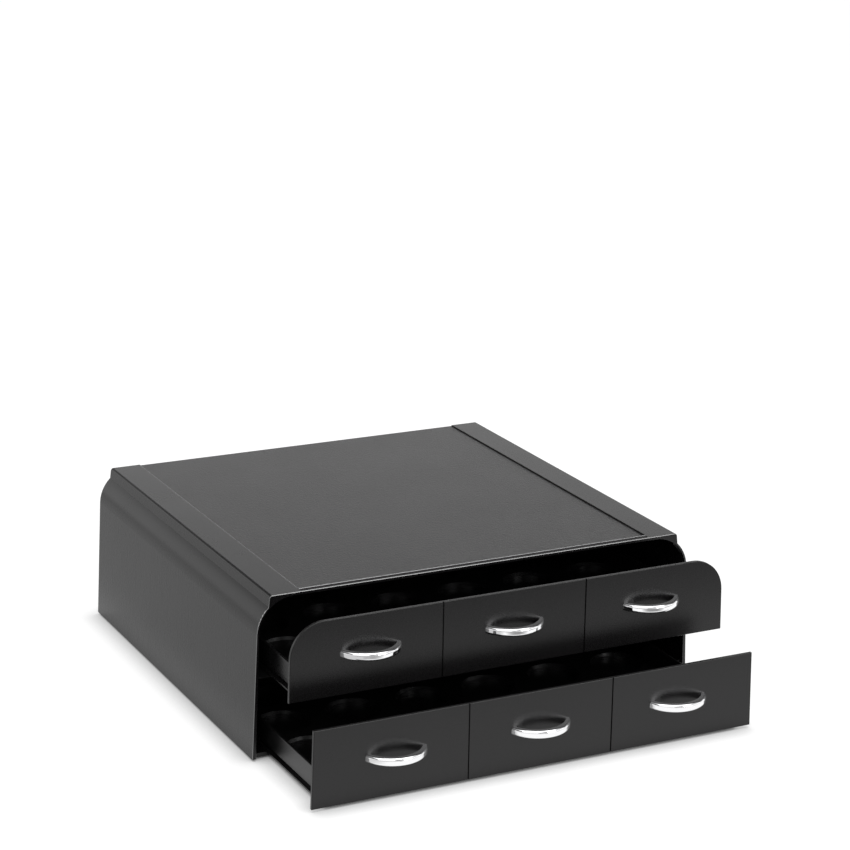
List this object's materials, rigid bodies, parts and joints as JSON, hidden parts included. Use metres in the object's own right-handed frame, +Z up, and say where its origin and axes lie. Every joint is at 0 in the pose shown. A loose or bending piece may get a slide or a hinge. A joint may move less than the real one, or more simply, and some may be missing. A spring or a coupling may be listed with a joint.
{
  "type": "coffee pod drawer organiser",
  "caption": "Low black countertop casing with a flat deck for a coffee maker and stacked full-width pull-out drawers for single-serve pods, with chrome bow handles.",
  "frame": {"origin": "centre of the bounding box's bottom with the drawers partly out as in the picture, on the surface that the feet stand on; the casing's own centre is 55.65 mm behind it", "axes": "+X to the right seen from the front, +Y from the drawer fronts towards the back, +Z up"},
  "size_m": [0.364, 0.4394, 0.124],
  "materials": {
    "satin_black_plastic": "satin black moulded plastic with a fine pebble grain",
    "drawer_front_plastic": "satin black moulded plastic with a very fine grain",
    "drawer_plastic": "smooth semi-matt black moulded plastic",
    "runner_plastic": "smooth low-friction black plastic",
    "handle_chrome": "bright polished chrome plating",
    "zinc_screw": "zinc-plated steel",
    "foot_rubber": "soft black rubber"
  },
  "bodies": {
    "casing": {"casing_shell": "satin_black_plastic", "back_panel": "satin_black_plastic", "base_panel": "satin_black_plastic", "back_panel_screws": "zinc_screw", "base_panel_screws": "zinc_screw", "foot_front_left": "foot_rubber", "foot_front_right": "foot_rubber", "foot_back_left": "foot_rubber", "foot_back_right": "foot_rubber", "lower_rail_left": "runner_plastic", "lower_rail_right": "runner_plastic", "upper_rail_left": "runner_plastic", "upper_rail_right": "runner_plastic", "rail_screws_left": "zinc_screw", "rail_screws_right": "zinc_screw"},
    "lower_drawer": {"lower_tray": "drawer_plastic", "lower_pod_insert": "drawer_plastic", "lower_front_panel": "drawer_front_plastic", "lower_front_screws": "zinc_screw", "lower_handle_screws": "zinc_screw", "lower_handle_left": "handle_chrome", "lower_handle_middle": "handle_chrome", "lower_handle_right": "handle_chrome"},
    "upper_drawer": {"upper_tray": "drawer_plastic", "upper_pod_insert": "drawer_plastic", "upper_front_panel": "drawer_front_plastic", "upper_front_screws": "zinc_screw", "upper_handle_screws": "zinc_screw", "upper_handle_left": "handle_chrome", "upper_handle_middle": "handle_chrome", "upper_handle_right": "handle_chrome"}
  },
  "joints": [
    {"name": "lower_drawer_slide", "type": "slide", "parent": "casing", "child": "lower_drawer", "axis": [0, -1, 0], "range_m": [-0.0953, 0.1597]},
    {"name": "upper_drawer_slide", "type": "slide", "parent": "casing", "child": "upper_drawer", "axis": [0, -1, 0], "range_m": [-0.0528, 0.2022]}
  ]
}
